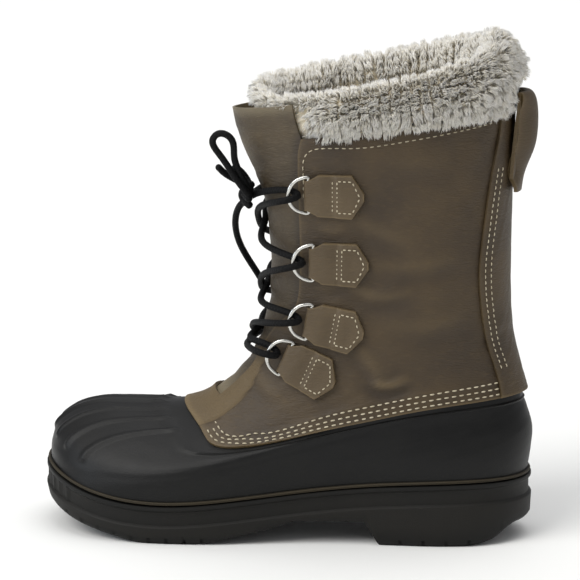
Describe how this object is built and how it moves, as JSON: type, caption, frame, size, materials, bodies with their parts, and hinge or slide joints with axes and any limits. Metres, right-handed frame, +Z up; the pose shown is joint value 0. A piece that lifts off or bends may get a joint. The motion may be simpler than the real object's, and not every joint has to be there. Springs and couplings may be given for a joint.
{
  "type": "pac boot",
  "caption": "Winter pac boot, left foot: ribbed rubber bottom with heel and lugs, stitched leather shaft laced through D-rings, felt liner with a deep fleece cuff.",
  "frame": {"origin": "on the floor, under the middle of the boot's box without its lace", "axes": "+X from toe to heel, +Y to the inner side of the foot, +Z up"},
  "size_m": [0.3086, 0.1194, 0.3112],
  "materials": {
    "rubber": "satin",
    "rubber_stripe": "matte",
    "leather": "oiled",
    "leather_pale": "oiled",
    "steel": "polished",
    "lace": "woven",
    "felt": "felt",
    "fleece": "pile"
  },
  "bodies": {
    "root": {"outsole": "rubber", "rubber_shell": "rubber", "foxing_stripe": "rubber_stripe", "leather_shaft": "leather", "tongue": "leather_pale", "backstay": "leather", "liner": "felt", "fleece_cuff": "fleece", "pull_loop": "leather", "ring_tab_outer_1": "leather", "ring_tab_outer_2": "leather", "ring_tab_outer_3": "leather", "ring_tab_outer_4": "leather", "ring_tab_inner_1": "leather", "ring_tab_inner_2": "leather", "ring_tab_inner_3": "leather", "ring_tab_inner_4": "leather", "d_ring_outer_1": "steel", "d_ring_outer_2": "steel", "d_ring_outer_3": "steel", "d_ring_outer_4": "steel", "d_ring_inner_1": "steel", "d_ring_inner_2": "steel", "d_ring_inner_3": "steel", "d_ring_inner_4": "steel", "lace_crossings": "lace", "lace_knot": "lace", "bow_loop_outer": "lace", "bow_loop_inner": "lace", "lace_end_outer": "lace", "lace_end_inner": "lace"}
  },
  "joints": []
}
